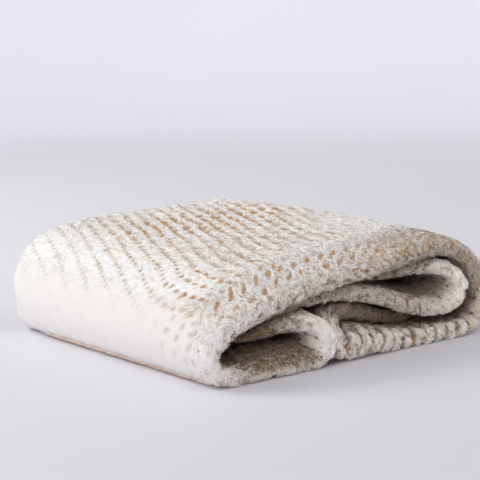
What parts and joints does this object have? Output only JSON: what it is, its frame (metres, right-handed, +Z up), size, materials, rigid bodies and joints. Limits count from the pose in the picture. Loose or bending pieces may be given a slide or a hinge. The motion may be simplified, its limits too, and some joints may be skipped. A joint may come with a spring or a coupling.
{
  "type": "folded knitted throw",
  "caption": "Chunky knitted throw folded in half and then over and over into a soft pack, with its rounded fold at the front and its loose edges at the back.",
  "frame": {"origin": "on the floor under the middle of the folded pack", "axes": "+Z up, +X along the front from the small turn to the large one, -Y out of the front where the rounded fold shows"},
  "size_m": [0.4386, 0.4194, 0.1347],
  "materials": {
    "cream_knit": "fuzzy thick wool, open knit, cream white with tan depths"
  },
  "bodies": {
    "root": {"throw": "cream_knit"}
  },
  "joints": []
}
